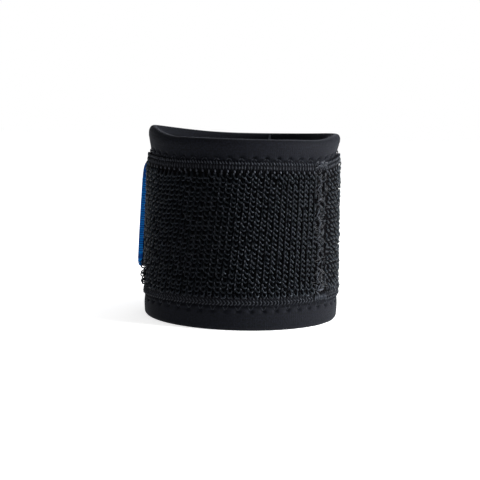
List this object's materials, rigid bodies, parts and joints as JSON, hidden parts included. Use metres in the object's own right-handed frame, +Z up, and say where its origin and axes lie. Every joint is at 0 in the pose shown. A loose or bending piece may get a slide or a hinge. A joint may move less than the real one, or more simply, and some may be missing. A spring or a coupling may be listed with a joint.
{
  "type": "wrist strap",
  "caption": "Padded wrist strap: a black neoprene wrap with a coarse loop-pile elastic sewn round it, closed by a blue hooked pull tab",
  "frame": {"origin": "on the ground under the middle of the strap's bounding box", "axes": "+Z up along the wrist towards the hand, -Y the front seen in the picture, +X to the right of the picture"},
  "size_m": [0.075, 0.0664, 0.0689],
  "materials": {
    "neoprene": "matt black jersey over foam",
    "loop_yarn": "black nylon yarn with a slight shine",
    "hook_tape": "black hook tape",
    "tab_weave": "blue close weave"
  },
  "bodies": {
    "root": {"neoprene_band": "neoprene", "loop_elastic": "loop_yarn", "hook_tape": "hook_tape", "pull_tab": "tab_weave"}
  },
  "joints": []
}
